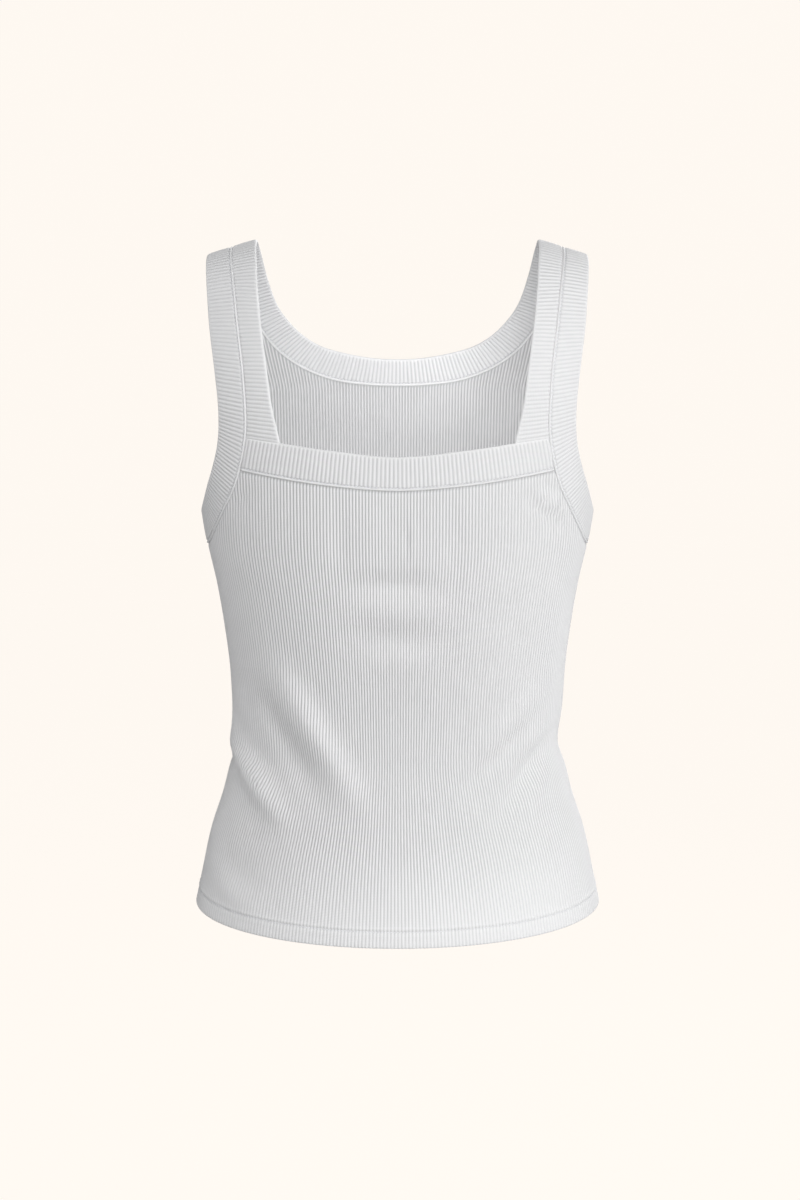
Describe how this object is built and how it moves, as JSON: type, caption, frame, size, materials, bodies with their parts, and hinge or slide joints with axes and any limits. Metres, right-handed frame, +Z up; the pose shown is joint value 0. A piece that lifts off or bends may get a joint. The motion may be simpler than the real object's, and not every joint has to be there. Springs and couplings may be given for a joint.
{
  "type": "tank top",
  "caption": "Sleeveless rib-knit tank top with wide bound straps, a square back neck and a round front scoop, filled out as worn.",
  "frame": {"origin": "midway between the two straps, level with their undersides where they rest on the shoulders", "axes": "+Z up, +Y the way the wearer faces (round scoop side), +X the wearer's right"},
  "size_m": [0.3222, 0.2058, 0.5221],
  "materials": {
    "panel_knit": "matte white cotton rib knit",
    "band_knit": "matte white cotton rib knit, folded double"
  },
  "bodies": {
    "root": {"back_panel": "panel_knit", "front_panel": "panel_knit", "neck_binding": "band_knit", "back_neck_band": "band_knit", "armhole_binding_right": "band_knit", "armhole_binding_left": "band_knit"}
  },
  "joints": []
}
